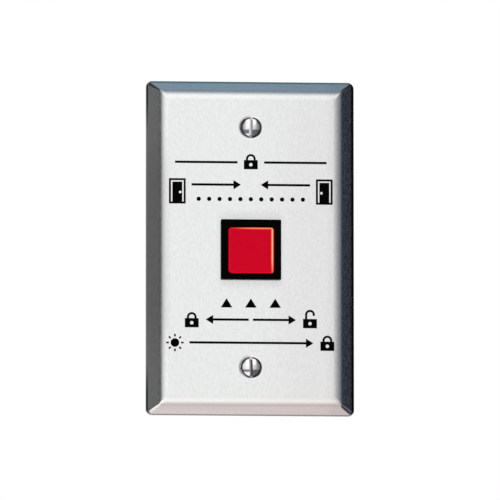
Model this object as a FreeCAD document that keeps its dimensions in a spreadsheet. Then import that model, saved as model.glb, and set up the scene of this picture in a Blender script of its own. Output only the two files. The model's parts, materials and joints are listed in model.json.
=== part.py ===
import FreeCAD, Part
import math
import os

import Sketcher

# Door release button: a lit, spring-return push button that snaps into a single wall plate.
# The origin is on the wall, at the middle of the plate. +Z is up, +X is to the right, and the
# front faces -Y. "Front" below is the height over the wall, so it is -Y, and it is negative
# for what stands behind the plate, inside the wall box. Lengths are in millimetres.

DRIVING_SIZES = {
    # Stamped wall plate
    "plate_width": 72.0,
    "plate_height": 116.0,
    "plate_depth": 5.0,
    "plate_sheet": 1.0,
    "lip_height": 1.2,
    "side_bevel": 5.8,
    "end_bevel": 4.5,
    "rim_corner_radius": 2.2,
    "face_corner_radius": 1.6,
    "crease_radius": 3.5,
    "rim_radius": 1.9,
    "cutout_gap": 0.15,
    "cutout_corner_radius": 0.8,
    "switch_drop": 1.45,
    # Oval-head screws and the dimples they sit in
    "screw_spacing": 83.34,
    "screw_diameter": 3.5,
    "screw_neck_diameter": 2.7,
    "screw_length": 19.0,
    "screw_neck_length": 3.4,
    "screw_point": 0.6,
    "head_diameter": 7.1,
    "head_cone_height": 2.07,
    "head_dome_height": 1.2,
    "head_recess": 0.1,
    "slot_width": 1.2,
    "slot_depth": 1.5,
    "screw_hole_gap": 0.2,
    "countersink_gap": 0.1,
    "countersink_round": 1.6,
    "dimple_land": 0.7,
    # Lens, diffuser and the plunger that carries them
    "lens_width": 15.8,
    "lens_corner_radius": 1.2,
    "lens_edge_radius": 0.9,
    "lens_wall": 1.1,
    "lens_face": 1.3,
    "lens_depth": 5.0,
    "lens_projection": 2.0,
    "lens_gap": 0.3,
    "inner_corner_radius": 0.6,
    "snap_gap": 0.05,
    "diffuser_gap": 0.1,
    "diffuser_sheet": 0.8,
    "spigot_wall": 0.9,
    "web_thickness": 1.2,
    "web_hole": 8.4,
    "carrier_gap": 0.35,
    "skirt_wall": 1.2,
    "skirt_depth": 3.8,
    "travel": 2.0,
    "stop_gap": 0.1,
    # Housing
    "housing_wall": 1.1,
    "bezel_overhang": 1.1,
    "bezel_thickness": 1.6,
    "bezel_corner_radius": 0.4,
    "bezel_edge_radius": 0.3,
    "bezel_rise": 0.5,
    "partition_thickness": 1.6,
    "base_plug_depth": 1.4,
    # Latch legs that keep the plunger in
    "latch_width": 3.0,
    "latch_thickness": 1.6,
    "latch_wall_gap": 0.5,
    "latch_slot_gap": 0.3,
    "barb_reach": 0.8,
    "barb_height": 1.2,
    "barb_gap": 0.05,
    # Contact legs, bars, tips and blades
    "bar_width": 2.2,
    "bar_length": 11.2,
    "bar_sheet": 0.4,
    "bar_gap": 0.3,
    "bar_hole": 1.5,
    "leg_width": 2.0,
    "leg_slot_gap": 0.3,
    "stud_diameter": 1.2,
    "stud_head_diameter": 2.0,
    "stud_head_height": 0.6,
    "open_shoulder_drop": 0.4,
    "open_spring_length": 2.0,
    "closed_spring_length": 1.5,
    "closed_foot_drop": 1.4,
    "rest_gap": 0.03,
    "tip_diameter": 1.8,
    "tip_height": 0.4,
    "tip_margin": 0.3,
    "strip_thickness": 0.5,
    "blade_width": 2.0,
    "blade_gap": 0.45,
    "blade_length": 24.0,
    "blade_hole": 1.2,
    "blade_hole_margin": 1.6,
    "slot_gap": 0.05,
    "contact_spring_diameter": 2.2,
    "contact_spring_wire": 0.3,
    # Return spring
    "spring_wire": 0.6,
    "spring_gap": 0.3,
    "spring_seat": 0.3,
    "spring_pocket_gap": 0.4,
    # Terminal base
    "floor_gap": 0.3,
    "base_thickness": 2.5,
    "base_fit_gap": 0.1,
    "tower_gap": 0.05,
    "rib_thickness": 1.0,
    "rib_height": 2.0,
    "base_barb_width": 4.0,
    "base_barb_height": 0.8,
    "base_barb_reach": 0.8,
    "base_barb_inset": 0.3,
    "window_gap": 0.15,
    # Panel clips
    "clip_width": 6.0,
    "clip_sheet": 0.4,
    "clip_anchor": 0.6,
    "clip_root_drop": 2.8,
    "clip_flat_length": 3.8,
    "clip_spread": 1.1,
    "clip_gap": 0.05,
    # Flange-base lamp and its socket
    "lamp_length": 16.0,
    "lamp_gap": 0.6,
    "bulb_diameter": 5.8,
    "bulb_wall": 0.4,
    "bulb_neck_length": 2.4,
    "shell_wall": 0.25,
    "shell_height": 5.8,
    "lamp_flange_diameter": 6.98,
    "lamp_flange_thickness": 1.0,
    "lamp_tip_height": 1.0,
    "lamp_tip_diameter": 2.4,
    "bead_height": 0.8,
    "support_wire_diameter": 0.3,
    "support_wire_spacing": 2.0,
    "support_wire_rise": 2.4,
    "filament_diameter": 0.16,
    "socket_gap": 0.11,
    "post_wall": 1.1,
    "post_rise": 2.0,
    "post_hole_gap": 0.2,
    "contact_sheet": 0.4,
    "centre_contact_diameter": 4.8,
    "centre_contact_gap": 0.2,
    "centre_blade_inset": 0.8,
    "lamp_blade_width": 2.8,
}

document = FreeCAD.newDocument("door_release_button")
sheet = document.addObject("Spreadsheet::Sheet", "sizes")
for row, (alias, number) in enumerate(DRIVING_SIZES.items(), start=1):
    sheet.set(f"A{row}", alias)
    sheet.set(f"B{row}", str(number))
    sheet.setAlias(f"B{row}", alias)
document.recompute()


class Size:
    """A number now, with the spreadsheet expression that it comes from."""

    def __init__(self, value, text):
        self.value = value
        self.text = text

    def __add__(self, other):
        other = as_size(other)
        return Size(self.value + other.value, f"({self.text} + {other.text})")

    def __sub__(self, other):
        other = as_size(other)
        return Size(self.value - other.value, f"({self.text} - {other.text})")

    def __mul__(self, other):
        other = as_size(other)
        return Size(self.value * other.value, f"({self.text} * {other.text})")

    def __truediv__(self, other):
        other = as_size(other)
        return Size(self.value / other.value, f"({self.text} / {other.text})")

    def __neg__(self):
        return Size(-self.value, f"(-1 * {self.text})")

    def root(self):
        return Size(math.sqrt(self.value), f"sqrt({self.text})")

    def at_least(self, low):
        return Size(max(self.value, low), f"max({self.text}; {low})")


def as_size(number):
    return number if isinstance(number, Size) else Size(number, f"({number})")


def half_tangent(tangent):
    """The tangent of half an angle, from the tangent of the whole."""
    return ((tangent * tangent + 1).root() - 1) / tangent


class Sizes:
    """The cells of the spreadsheet, read by alias."""

    def __getattr__(self, alias):
        return Size(float(getattr(sheet, alias)), f"sizes.{alias}")


s = Sizes()
ZERO = as_size(0)
SMALLEST_RADIUS = 0.2

# Where things are, worked out from the driving sizes

plate_back = s.plate_depth - s.plate_sheet
head_rim = s.plate_depth - s.head_recess
screw_z = s.screw_spacing / 2
screw_tip = head_rim - s.screw_length

bezel_front = s.plate_depth + s.bezel_thickness
lens_front = bezel_front + s.lens_projection
lens_rear = lens_front - s.lens_depth
lens_inside = lens_front - s.lens_face
lens_bore = s.lens_width - s.lens_wall * 2
diffuser_rear = lens_inside - s.diffuser_sheet
web_rear = lens_rear - s.web_thickness
skirt_rear = web_rear - s.skirt_depth
carrier_opening = s.lens_width + s.lens_gap * 2
carrier_width = carrier_opening - s.carrier_gap * 2
skirt_bore = carrier_width - s.skirt_wall * 2

partition_front = skirt_rear - s.travel - s.stop_gap
partition_rear = partition_front - s.partition_thickness
housing_width = carrier_opening + s.housing_wall * 2
bezel_width = housing_width + s.bezel_overhang * 2
cutout_width = housing_width + s.cutout_gap * 2

latch_outer = carrier_opening / 2 - s.latch_wall_gap
latch_z = latch_outer - s.latch_thickness / 2
barb_front = partition_rear - s.barb_gap
latch_end = barb_front - s.barb_height

leg_x = carrier_opening / 2 - s.bar_gap - s.bar_width / 2
tip_z = s.bar_length / 2 - s.tip_diameter / 2 - s.tip_margin
blade_z = s.bar_length / 2 + s.blade_gap + s.strip_thickness / 2
blade_end = -s.blade_length

open_shoulder = partition_rear - s.open_shoulder_drop
open_bar_front = open_shoulder - s.open_spring_length
open_bar_rear = open_bar_front - s.bar_sheet
open_head_rear = open_bar_rear - s.stud_head_height
open_tip_rear = open_bar_rear - s.tip_height
open_fixed_front = open_tip_rear - s.travel - s.rest_gap
open_foot_front = open_fixed_front - s.tip_height
open_foot_rear = open_foot_front - s.strip_thickness

closed_foot_front = partition_rear - s.closed_foot_drop
closed_foot_rear = closed_foot_front - s.strip_thickness
closed_fixed_rear = closed_foot_rear - s.tip_height
closed_tip_front = closed_fixed_rear - s.rest_gap
closed_bar_front = closed_tip_front - s.tip_height
closed_bar_rear = closed_bar_front - s.bar_sheet
closed_shoulder = closed_bar_front + s.rest_gap
closed_head_front = closed_bar_rear - s.closed_spring_length
closed_head_rear = closed_head_front - s.stud_head_height

floor_front = closed_head_rear - s.travel - s.floor_gap
housing_rear = floor_front - s.base_plug_depth
base_rear = housing_rear - s.base_thickness
plug_width = carrier_opening - s.base_fit_gap * 2

lamp_top = diffuser_rear - s.travel - s.lamp_gap
lamp_rear = lamp_top - s.lamp_length
shell_rear = lamp_rear + s.lamp_tip_height
shell_front = shell_rear + s.shell_height
bulb_shoulder = shell_front + s.shell_wall
bulb_neck_diameter = s.bulb_diameter - s.shell_wall * 4
bulb_neck_rear = shell_front - s.bulb_neck_length
bead_front = bulb_neck_rear + s.bead_height
wire_top = bulb_shoulder + s.support_wire_rise
ring_rear = shell_rear - s.contact_sheet
socket_floor = lamp_rear - s.contact_sheet
socket_bore = s.lamp_flange_diameter + s.socket_gap * 2
socket_well = s.centre_contact_diameter + s.centre_contact_gap * 2
post_diameter = socket_bore + s.post_wall * 2
post_top = partition_front + s.post_rise
spring_bore = post_diameter + s.spring_gap * 2
spring_outer = spring_bore + s.spring_wire * 2
spring_front = web_rear + s.spring_seat
shell_blade_z = socket_bore / 2 - s.strip_thickness
centre_blade_z = -(s.centre_contact_diameter / 2 - s.centre_blade_inset)


def bind(thing, prop, size):
    """Tie a property of a document object to the spreadsheet."""
    thing.setExpression(prop, as_size(size).text)


def rectangle(width, height=None, radius=None):
    """A rectangle around the sketch's origin, with rounded corners if a radius is given."""
    return "rectangle", as_size(width), as_size(height or width), radius and as_size(radius)


def circle(diameter):
    """A circle around the sketch's origin."""
    return "circle", as_size(diameter)


def driven(sketch, constraint, size):
    """Add a dimension to a sketch and tie it to the spreadsheet."""
    index = sketch.addConstraint(constraint)
    name = f"size{index}"
    sketch.renameConstraint(index, name)
    bind(sketch, f"Constraints.{name}", size)


def draw_circle(sketch, diameter):
    flat = Part.Circle(FreeCAD.Vector(0, 0, 0), FreeCAD.Vector(0, 0, 1), diameter.value / 2)
    geo = sketch.addGeometry(flat, False)
    sketch.addConstraint(Sketcher.Constraint("Coincident", geo, 3, -1, 1))
    driven(sketch, Sketcher.Constraint("Diameter", geo, diameter.value), diameter)


def draw_rectangle(sketch, width, height, radius):
    """Four sides in order from the bottom, each tied to the next by a corner or an arc."""
    half_w, half_h = width.value / 2, height.value / 2
    round_r = radius.value if radius else 0.0
    ends = [
        ((-half_w + round_r, -half_h), (half_w - round_r, -half_h)),
        ((half_w, -half_h + round_r), (half_w, half_h - round_r)),
        ((half_w - round_r, half_h), (-half_w + round_r, half_h)),
        ((-half_w, half_h - round_r), (-half_w, -half_h + round_r)),
    ]
    first = sketch.GeometryCount
    for start, end in ends:
        sketch.addGeometry(Part.LineSegment(FreeCAD.Vector(*start, 0), FreeCAD.Vector(*end, 0)), False)
    for side in range(4):
        following = first + (side + 1) % 4
        if not radius:
            sketch.addConstraint(Sketcher.Constraint("Coincident", first + side, 2, following, 1))
            continue
        sign_x = 1 if side in (0, 1) else -1
        sign_z = 1 if side in (1, 2) else -1
        centre = FreeCAD.Vector(sign_x * (half_w - round_r), sign_z * (half_h - round_r), 0)
        ring = Part.Circle(centre, FreeCAD.Vector(0, 0, 1), round_r)
        begin = math.radians(90 * side - 90)
        arc = sketch.addGeometry(Part.ArcOfCircle(ring, begin, begin + math.pi / 2), False)
        sketch.addConstraint(Sketcher.Constraint("Tangent", first + side, 2, arc, 1))
        sketch.addConstraint(Sketcher.Constraint("Tangent", arc, 2, following, 1))
        if side == 0:
            first_arc = arc
            driven(sketch, Sketcher.Constraint("Radius", arc, round_r), radius)
        else:
            sketch.addConstraint(Sketcher.Constraint("Equal", first_arc, arc))
    # The bottom and right sides are centred on the axes, which also levels them.
    sketch.addConstraint(Sketcher.Constraint("Horizontal", first + 2))
    sketch.addConstraint(Sketcher.Constraint("Vertical", first + 3))
    sketch.addConstraint(Sketcher.Constraint("Symmetric", first, 1, first, 2, -2))
    sketch.addConstraint(Sketcher.Constraint("Symmetric", first + 1, 1, first + 1, 2, -1))
    across = Sketcher.Constraint("DistanceX", first + 3, 1, first + 1, 1, 2 * half_w)
    upwards = Sketcher.Constraint("DistanceY", first, 1, first + 2, 1, 2 * half_h)
    driven(sketch, across, width)
    driven(sketch, upwards, height)


def draw_profile(sketch, points):
    """A closed outline through (radius, height) points, none of them negative.

    A point with "dome" as its third item starts an arc centred on the axis, to the next point.
    """
    count = len(points)
    places = [(as_size(point[0]), as_size(point[1])) for point in points]
    starts, finishes = [], []
    for index, point in enumerate(points):
        (r0, h0), (r1, h1) = places[index], places[(index + 1) % count]
        a = FreeCAD.Vector(r0.value, h0.value, 0)
        b = FreeCAD.Vector(r1.value, h1.value, 0)
        if len(point) == 2:
            geo = sketch.addGeometry(Part.LineSegment(a, b), False)
            starts.append((geo, 1))
            finishes.append((geo, 2))
            continue
        middle = (b.y**2 + b.x**2 - a.y**2 - a.x**2) / (2 * (b.y - a.y))
        centre = FreeCAD.Vector(0, middle, 0)
        ring = Part.Circle(centre, FreeCAD.Vector(0, 0, 1), (a - centre).Length)
        angles = [math.atan2(p.y - middle, p.x) for p in (a, b)]
        geo = sketch.addGeometry(Part.ArcOfCircle(ring, min(angles), max(angles)), False)
        sketch.addConstraint(Sketcher.Constraint("PointOnObject", geo, 3, -2))
        forward = angles[1] > angles[0]
        starts.append((geo, 1 if forward else 2))
        finishes.append((geo, 2 if forward else 1))
    for index in range(count):
        sketch.addConstraint(
            Sketcher.Constraint("Coincident", *finishes[index], *starts[(index + 1) % count])
        )
    for index, (radius, height) in enumerate(places):
        for kind, size, axis in (("DistanceX", radius, -2), ("DistanceY", height, -1)):
            if size.value == 0:
                sketch.addConstraint(Sketcher.Constraint("PointOnObject", *starts[index], axis))
            else:
                driven(sketch, Sketcher.Constraint(kind, -1, 1, *starts[index], size.value), size)


class Piece:
    """A sub-part, built as a PartDesign body along the direction it is pressed in."""

    def __init__(self, name):
        self.body = document.addObject("PartDesign::Body", name)
        self.body.Label = name
        self.count = 0

    def sketch(self, role, x, y, z, turned=False):
        """A sketch on an origin plane; turned, it shows radius or X across and the front up."""
        plane = next(p for p in self.body.Origin.OriginFeatures if p.Role == role)
        self.count += 1
        made = self.body.newObject("Sketcher::SketchObject", f"{self.body.Name}_sketch{self.count}")
        made.AttachmentSupport = [(plane, "")]
        made.MapMode = "FlatFace"
        if turned:
            over = FreeCAD.Rotation(FreeCAD.Vector(1, 0, 0), 180)
            made.AttachmentOffset = FreeCAD.Placement(FreeCAD.Vector(0, 0, 0), over)
        for axis, place in zip("xyz", (x, y, z)):
            bind(made, f"AttachmentOffset.Base.{axis}", place)
        return made

    def feature(self, kind, profile, **settings):
        self.count += 1
        made = self.body.newObject(f"PartDesign::{kind}", f"{self.body.Name}_{kind}{self.count}")
        if profile is not None:
            made.Profile = profile
        for prop, value in settings.items():
            if isinstance(value, Size):
                bind(made, prop, value)
            else:
                setattr(made, prop, value)
        self.body.Tip = made
        return made

    def outline(self, front, shapes, x=ZERO, z=ZERO):
        """A sketch parallel to the wall, with rectangles and circles around (x, z)."""
        made = self.sketch("XZ_Plane", x, z, front)
        for kind, *sizes in shapes:
            if kind == "circle":
                draw_circle(made, *sizes)
            else:
                draw_rectangle(made, *sizes)
        return made

    def add(self, front, rear, *shapes, x=ZERO, z=ZERO):
        """Material between two heights over the wall."""
        return self.feature("Pad", self.outline(rear, shapes, x, z), Length=front - rear)

    def cut(self, front, rear, *shapes, x=ZERO, z=ZERO):
        """A pocket between two heights over the wall."""
        return self.feature("Pocket", self.outline(front, shapes, x, z), Length=front - rear)

    def turn(self, rear, points, x=ZERO, z=ZERO, cut=False):
        """A turned shape whose (radius, height) profile stands on the height given."""
        profile = self.sketch("XY_Plane", x, -rear, z, turned=True)
        draw_profile(profile, points)
        kind = "Groove" if cut else "Revolution"
        return self.feature(kind, profile, ReferenceAxis=(profile, ["V_Axis"]), Angle=360)

    def drill(self, front, diameter, x=ZERO):
        """A hole right through, up and down."""
        profile = self.sketch("XY_Plane", x, -front, ZERO)
        draw_circle(profile, as_size(diameter))
        return self.feature("Pocket", profile, Type="ThroughAll", Midplane=True)

    def extrude_profile(self, x, rear, points, width):
        """A flat outline of (across, front) points, as wide up and down as given."""
        profile = self.sketch("XY_Plane", x, -rear, ZERO, turned=True)
        draw_profile(profile, points)
        return self.feature("Pad", profile, Length=width, Midplane=True)

    def mirror(self, role, *originals):
        """The features given, repeated on the other side of an origin plane."""
        plane = next(p for p in self.body.Origin.OriginFeatures if p.Role == role)
        return self.feature("Mirrored", None, Originals=list(originals), MirrorPlane=(plane, [""]))

    def round_edges(self, radius, wanted):
        """A fillet on the edges for which wanted(edge) is true."""
        document.recompute()
        tip = self.body.Tip
        names = [f"Edge{i}" for i, edge in enumerate(tip.Shape.Edges, start=1) if wanted(edge)]
        return self.feature("Fillet", None, Base=(tip, names), Radius=radius)


def at_front(height, outside=None):
    """A test for edges that lie at one height over the wall, and further out than outside."""

    def wanted(edge):
        box = edge.BoundBox
        if abs(box.YMin + height.value) > 1e-4 or abs(box.YMax + height.value) > 1e-4:
            return False
        reach = max(abs(box.Center.x), abs(box.Center.z))
        return outside is None or reach > outside.value

    return wanted


def biarc(start, end, start_way, end_way):
    """Two arcs from start to end that leave and arrive in the given directions."""
    chord = end - start
    ways = start_way + end_way
    a = 2 * (start_way.dot(end_way) - 1)
    b = -2 * chord.dot(ways)
    c = chord.dot(chord)
    reach = (-b - math.sqrt(b * b - 4 * a * c)) / (2 * a)
    joint = (start + start_way * reach + end - end_way * reach) * 0.5
    return [arc_along(start, joint, start_way), arc_along(end, joint, end_way * -1)]


def arc_along(start, end, way):
    """The arc that leaves start in the direction given and ends at end."""
    chord = end - start
    unit = chord * (1 / chord.Length)
    aside = way - unit * way.dot(unit)
    bulge = chord.Length / 2 * math.tan(math.atan2(aside.Length, way.dot(unit)) / 2)
    middle = (start + end) * 0.5 + aside * (bulge / aside.Length)
    return Part.Arc(start, middle, end).toShape()


def coil(mean_radius, wire, rear, front, turns, x=0.0, z=0.0):
    """One length of round wire wound about an axis that points to the front."""
    rise = front - rear - wire
    quarter_turns = 4 * turns
    climb = rise / (turns * 2 * math.pi)

    def place(angle):
        height = rear + wire / 2 + climb * angle
        return FreeCAD.Vector(x + mean_radius * math.cos(angle), -height, z + mean_radius * math.sin(angle))

    def way(angle):
        tangent = FreeCAD.Vector(-mean_radius * math.sin(angle), -climb, mean_radius * math.cos(angle))
        return tangent.normalize()

    edges = []
    for quarter in range(quarter_turns):
        low, high = quarter * math.pi / 2, (quarter + 1) * math.pi / 2
        first, second = biarc(place(low), place(high), way(low), way(high))
        edges += [first, second]
    path = Part.Wire(Part.__sortEdges__(edges))
    section = Part.Circle(place(0), way(0), wire / 2).toShape()
    return path.makePipeShell([Part.Wire(section)], True, False)


def feature_of(name, shape):
    """A document object that holds a shape made directly."""
    made = document.addObject("Part::Feature", name)
    made.Label = name
    made.Shape = shape
    made.Placement = FreeCAD.Placement()
    return made


def make_faceplate():
    """A drawn steel dish: lip, bevel and flat face, with two dimples and a square cutout."""
    piece = Piece("faceplate")
    face_width = s.plate_width - s.side_bevel * 2
    face_height = s.plate_height - s.end_bevel * 2
    rim = rectangle(s.plate_width, s.plate_height, s.rim_corner_radius)
    face = rectangle(face_width, face_height, s.face_corner_radius)
    piece.add(s.lip_height, ZERO, rim)
    low = piece.outline(s.lip_height, [rim])
    high = piece.outline(s.plate_depth, [face])
    piece.feature("AdditiveLoft", low, Sections=[(high, [""])], Ruled=True)
    piece.round_edges(s.crease_radius, at_front(s.plate_depth))
    piece.round_edges(s.rim_radius, at_front(s.lip_height))
    # The hollow keeps the sheet as thick on the bevel as on the face. A corner between two
    # sheets that meet at an angle moves by the sheet times the tangent of half that angle.
    drop = s.plate_depth - s.lip_height
    side_shift = s.plate_sheet * half_tangent(drop / s.side_bevel)
    end_shift = s.plate_sheet * half_tangent(drop / s.end_bevel)
    hollow_lip = s.lip_height - s.plate_sheet * half_tangent(s.side_bevel / drop)
    hollow_rim = rectangle(
        s.plate_width - s.plate_sheet * 2,
        s.plate_height - s.plate_sheet * 2,
        (s.rim_corner_radius - s.plate_sheet).at_least(SMALLEST_RADIUS),
    )
    hollow_face = rectangle(
        face_width - side_shift * 2,
        face_height - end_shift * 2,
        (s.face_corner_radius - side_shift).at_least(SMALLEST_RADIUS),
    )
    piece.cut(hollow_lip, ZERO, hollow_rim)
    low = piece.outline(hollow_lip, [hollow_rim])
    high = piece.outline(plate_back, [hollow_face])
    piece.feature("SubtractiveLoft", low, Sections=[(high, [""])], Ruled=True)
    piece.round_edges((s.crease_radius - s.plate_sheet).at_least(SMALLEST_RADIUS), at_front(plate_back))
    piece.round_edges((s.rim_radius - s.plate_sheet).at_least(SMALLEST_RADIUS), at_front(hollow_lip))
    cut_dimples(piece)
    square = rectangle(cutout_width, cutout_width, s.cutout_corner_radius)
    piece.cut(s.plate_depth, plate_back, square, z=-s.switch_drop)
    return piece


def cut_dimples(piece):
    """Cones pressed into the sheet, which follow the heads of the screws."""
    slope = (s.head_diameter - s.screw_diameter) / 2 / s.head_cone_height
    hole = s.screw_diameter / 2 + s.screw_hole_gap
    mouth = s.head_diameter / 2 + s.countersink_gap
    cone = (mouth - hole) / slope
    back = s.plate_depth - cone - s.dimple_land
    rise = plate_back - back
    foot = hole + s.plate_sheet
    for side in (1, -1):
        boss = [(0, 0), (foot, 0), (foot + slope * rise, rise), (0, rise)]
        piece.turn(back, boss, z=screw_z * side)
        seat = [
            (0, 0),
            (hole, 0),
            (hole, s.dimple_land),
            (mouth, s.dimple_land + cone),
            (0, s.dimple_land + cone),
        ]
        piece.turn(back, seat, z=screw_z * side, cut=True)
    piece.round_edges(
        s.countersink_round,
        lambda edge: at_front(s.plate_depth)(edge)
        and abs(abs(edge.BoundBox.Center.z) - screw_z.value) < mouth.value / 2,
    )


def make_mounting_screws():
    """Oval-head slotted screws; the thread is drawn at its outer diameter."""
    piece = Piece("mounting_screws")
    radius = s.screw_diameter / 2
    neck = s.screw_neck_diameter / 2
    cone_rear = s.screw_length - s.head_cone_height
    neck_rear = s.screw_length - s.screw_neck_length
    for side in (1, -1):
        profile = [
            (0, 0),
            (radius - s.screw_point, 0),
            (radius, s.screw_point),
            (radius, neck_rear),
            (neck, neck_rear),
            (neck, cone_rear),
            (radius, cone_rear),
            (s.head_diameter / 2, s.screw_length),
            (s.head_diameter / 2, s.screw_length + s.head_recess, "dome"),
            (0, s.screw_length + s.head_dome_height),
        ]
        piece.turn(screw_tip, profile, z=screw_z * side)
    top = head_rim + s.head_dome_height
    slot = rectangle(s.slot_width, s.head_diameter * 2)
    for side in (1, -1):
        piece.cut(top, top - s.slot_depth, slot, z=screw_z * side)
    return piece


def make_switch_housing():
    """The moulded body: bezel flange, guide for the lens, partition and contact chamber."""
    piece = Piece("switch_housing")
    opening = rectangle(carrier_opening, carrier_opening, s.lens_corner_radius + s.lens_gap)
    piece.add(s.plate_depth, housing_rear, rectangle(housing_width, housing_width, s.inner_corner_radius))
    bezel = rectangle(bezel_width, bezel_width, s.bezel_corner_radius)
    piece.add(bezel_front, s.plate_depth, bezel, z=s.bezel_rise)
    piece.cut(bezel_front, partition_front, opening)
    chamber = rectangle(carrier_opening, carrier_opening, s.inner_corner_radius)
    piece.cut(partition_rear, housing_rear, chamber)
    piece.cut(partition_front, partition_rear, circle(post_diameter + s.post_hole_gap * 2))
    leg_slot = rectangle(s.leg_width + s.leg_slot_gap * 2)
    latch_depth = s.latch_thickness + s.latch_slot_gap + s.latch_wall_gap
    latch_slot = rectangle(s.latch_width + s.latch_slot_gap * 2, latch_depth)
    latch_slot_z = carrier_opening / 2 - latch_depth / 2
    window = rectangle(s.base_barb_width + s.window_gap * 2, s.housing_wall * 2)
    window_front = floor_front - s.base_barb_inset + s.window_gap
    window_rear = window_front - s.base_barb_height - s.window_gap * 2
    anchor = rectangle(s.clip_anchor * 2, s.clip_width + s.clip_gap * 2)
    anchor_front = clip_root() + s.clip_sheet + s.clip_gap
    for side in (1, -1):
        piece.cut(partition_front, partition_rear, leg_slot, x=leg_x * side)
        piece.cut(partition_front, partition_rear, latch_slot, z=latch_slot_z * side)
        piece.cut(window_front, window_rear, window, z=(carrier_opening / 2 + s.housing_wall) * side)
        piece.cut(anchor_front, clip_root() - s.clip_gap, anchor, x=housing_width / 2 * side)
    piece.round_edges(
        s.bezel_edge_radius,
        at_front(bezel_front, outside=carrier_opening / 2 + s.bezel_edge_radius),
    )
    return piece


def clip_root():
    """The rear end of the panel clips."""
    return partition_rear - s.clip_root_drop


def make_panel_clips():
    """Leaf springs that bear on the back of the plate, just outside the cutout."""
    piece = Piece("panel_clips")
    tip = plate_back - s.clip_gap - clip_root()
    inner = s.clip_anchor
    outer = s.clip_anchor + s.clip_sheet
    leaf = [
        (0, 0),
        (outer, 0),
        (outer, s.clip_flat_length),
        (outer + s.clip_spread, tip),
        (inner + s.clip_spread, tip),
        (inner, s.clip_flat_length),
        (inner, s.clip_sheet),
        (0, s.clip_sheet),
    ]
    leaf_pad = piece.extrude_profile(housing_width / 2 - s.clip_anchor, clip_root(), leaf, s.clip_width)
    piece.mirror("YZ_Plane", leaf_pad)
    return piece


def make_button_lens():
    """A square cap, open at the rear, with rounded edges."""
    piece = Piece("button_lens")
    piece.add(lens_front, lens_rear, rectangle(s.lens_width, s.lens_width, s.lens_corner_radius))
    piece.round_edges(s.lens_edge_radius, at_front(lens_front))
    piece.cut(lens_inside, lens_rear, rectangle(lens_bore, lens_bore, s.inner_corner_radius))
    return piece


def make_lens_diffuser():
    """A white plate held between the lens and the spigot of the plunger."""
    piece = Piece("lens_diffuser")
    width = lens_bore - s.diffuser_gap * 2
    piece.add(lens_inside, diffuser_rear, rectangle(width, width, s.inner_corner_radius))
    return piece


def make_button_carrier():
    """The plunger: spigot in the lens, skirt in the housing, and legs through the partition."""
    piece = Piece("button_carrier")
    skirt = rectangle(carrier_width, carrier_width, s.lens_corner_radius)
    skirt_hole = rectangle(skirt_bore, skirt_bore, s.inner_corner_radius)
    piece.add(lens_rear, skirt_rear, skirt)
    piece.cut(web_rear, skirt_rear, skirt_hole)
    spigot = lens_bore - s.snap_gap * 2
    spigot_bore = spigot - s.spigot_wall * 2
    piece.add(
        diffuser_rear,
        lens_rear,
        rectangle(spigot, spigot, s.inner_corner_radius),
        rectangle(spigot_bore, spigot_bore, s.inner_corner_radius / 2),
    )
    piece.cut(lens_rear, web_rear, circle(s.web_hole))
    latch = rectangle(s.latch_width, s.latch_thickness)
    barb = rectangle(s.latch_width, s.latch_thickness + s.barb_reach)
    for side in (1, -1):
        piece.add(web_rear, latch_end, latch, z=latch_z * side)
        piece.add(barb_front, latch_end, barb, z=(latch_z - s.barb_reach / 2) * side)
    leg = rectangle(s.leg_width)
    stud = circle(s.stud_diameter)
    head = circle(s.stud_head_diameter)
    for side, shoulder, head_front, head_rear in (
        (-1, open_shoulder, open_bar_rear, open_head_rear),
        (1, closed_shoulder, closed_head_front, closed_head_rear),
    ):
        piece.add(web_rear, shoulder, leg, x=leg_x * side)
        piece.add(shoulder, head_front, stud, x=leg_x * side)
        piece.add(head_front, head_rear, head, x=leg_x * side)
    # The seat of the return spring, which also hollows the legs where they pass it
    piece.cut(spring_front, partition_front, circle(spring_outer + s.spring_pocket_gap * 2))
    return piece


def make_return_spring():
    """Wound between the partition and its seat in the plunger, around the lamp post."""
    mean = (spring_bore.value + s.spring_wire.value) / 2
    turns = 4
    shape = coil(mean, s.spring_wire.value, partition_front.value, spring_front.value, turns)
    return feature_of("return_spring", shape)


def make_contact_springs():
    """Two small springs that press the bars against their contacts."""
    wire = s.contact_spring_wire.value
    mean = (s.contact_spring_diameter.value - wire) / 2
    turns = 3
    springs = [
        coil(mean, wire, rear.value, front.value, turns, x=leg_x.value * side)
        for side, rear, front in (
            (-1, open_bar_front, open_shoulder),
            (1, closed_head_front, closed_bar_rear),
        )
    ]
    return feature_of("contact_springs", Part.makeCompound(springs))


def make_bar(name, side, front):
    """A moving bar with a hole for the stud of its leg."""
    piece = Piece(name)
    bar = rectangle(s.bar_width, s.bar_length)
    piece.add(front, front - s.bar_sheet, bar, circle(s.bar_hole), x=leg_x * side)
    return piece


def make_moving_contact_tips():
    """Silver tips on the rear of the open bar and on the front of the closed bar."""
    piece = Piece("moving_contact_tips")
    for up in (1, -1):
        piece.add(open_bar_rear, open_tip_rear, circle(s.tip_diameter), x=-leg_x, z=tip_z * up)
        piece.add(closed_tip_front, closed_bar_front, circle(s.tip_diameter), x=leg_x, z=tip_z * up)
    return piece


def make_fixed_contact_tips():
    """Silver tips on the feet of the blades."""
    piece = Piece("fixed_contact_tips")
    for up in (1, -1):
        piece.add(open_fixed_front, open_foot_front, circle(s.tip_diameter), x=-leg_x, z=tip_z * up)
        piece.add(closed_foot_rear, closed_fixed_rear, circle(s.tip_diameter), x=leg_x, z=tip_z * up)
    return piece


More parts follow.
